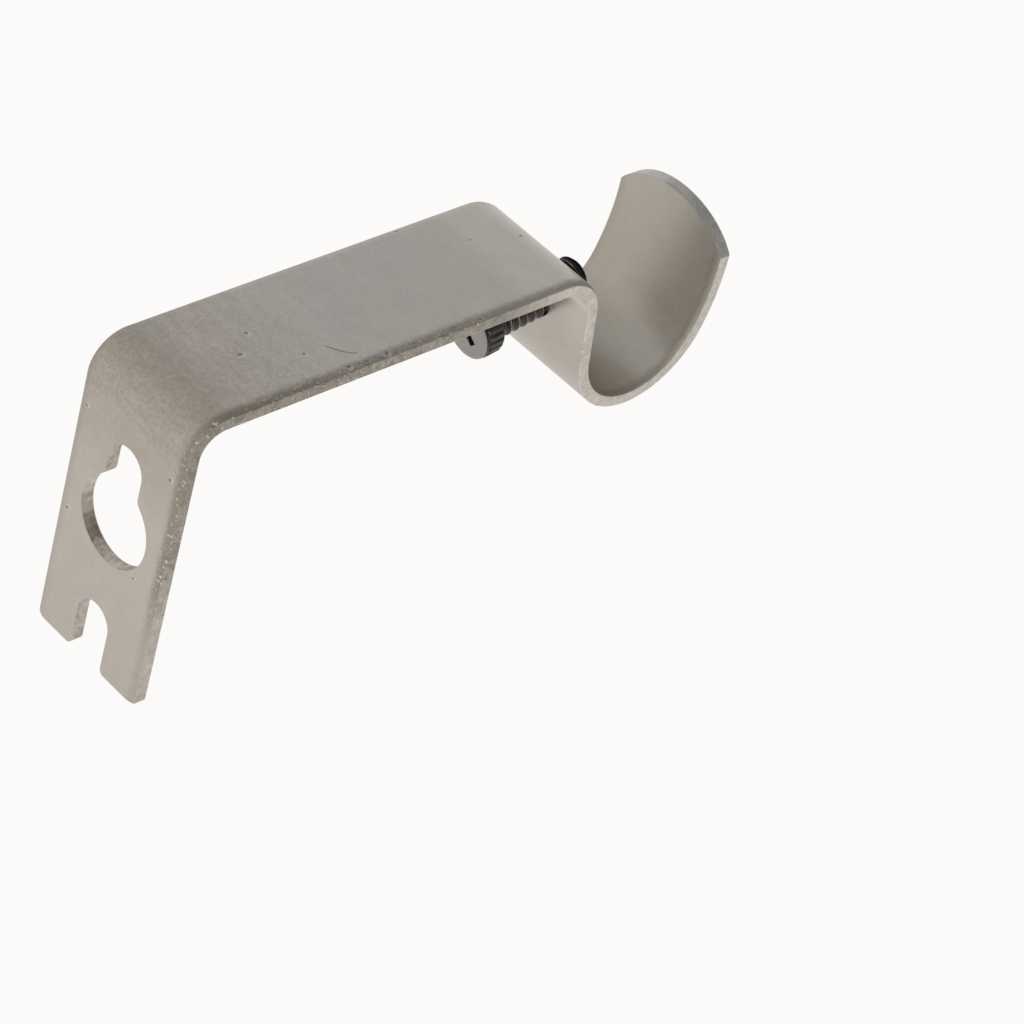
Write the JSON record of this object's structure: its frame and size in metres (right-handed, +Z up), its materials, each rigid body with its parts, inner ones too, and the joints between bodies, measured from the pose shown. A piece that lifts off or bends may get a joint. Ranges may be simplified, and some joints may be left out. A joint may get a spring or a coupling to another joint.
{
  "type": "curtain pole bracket",
  "caption": "Bent steel strap bracket for a curtain pole: slotted wall plate, flat arm, open cup with a rounded lip, and a knurled clamping screw.",
  "frame": {"origin": "on the wall plane at the centre of the keyhole's narrow round end, where the bracket hangs on its wall screw", "axes": "+X out from the wall along the arm towards the cup, +Y across the strap's width, +Z up; the wall is the plane X = 0"},
  "size_m": [0.0942, 0.02, 0.046],
  "materials": {
    "painted_strap": "satin warm grey paint with a fine metallic speckle",
    "black_screw": "black zinc, slightly glossy"
  },
  "bodies": {
    "bracket": {"bracket_strap": "painted_strap"},
    "screw": {"clamp_screw": "black_screw"}
  },
  "joints": [
    {"name": "clamp_screw_travel", "type": "slide", "parent": "bracket", "child": "screw", "axis": [0.986, 0, 0.1668], "range_m": [-0.0054, 0.0083]}
  ]
}
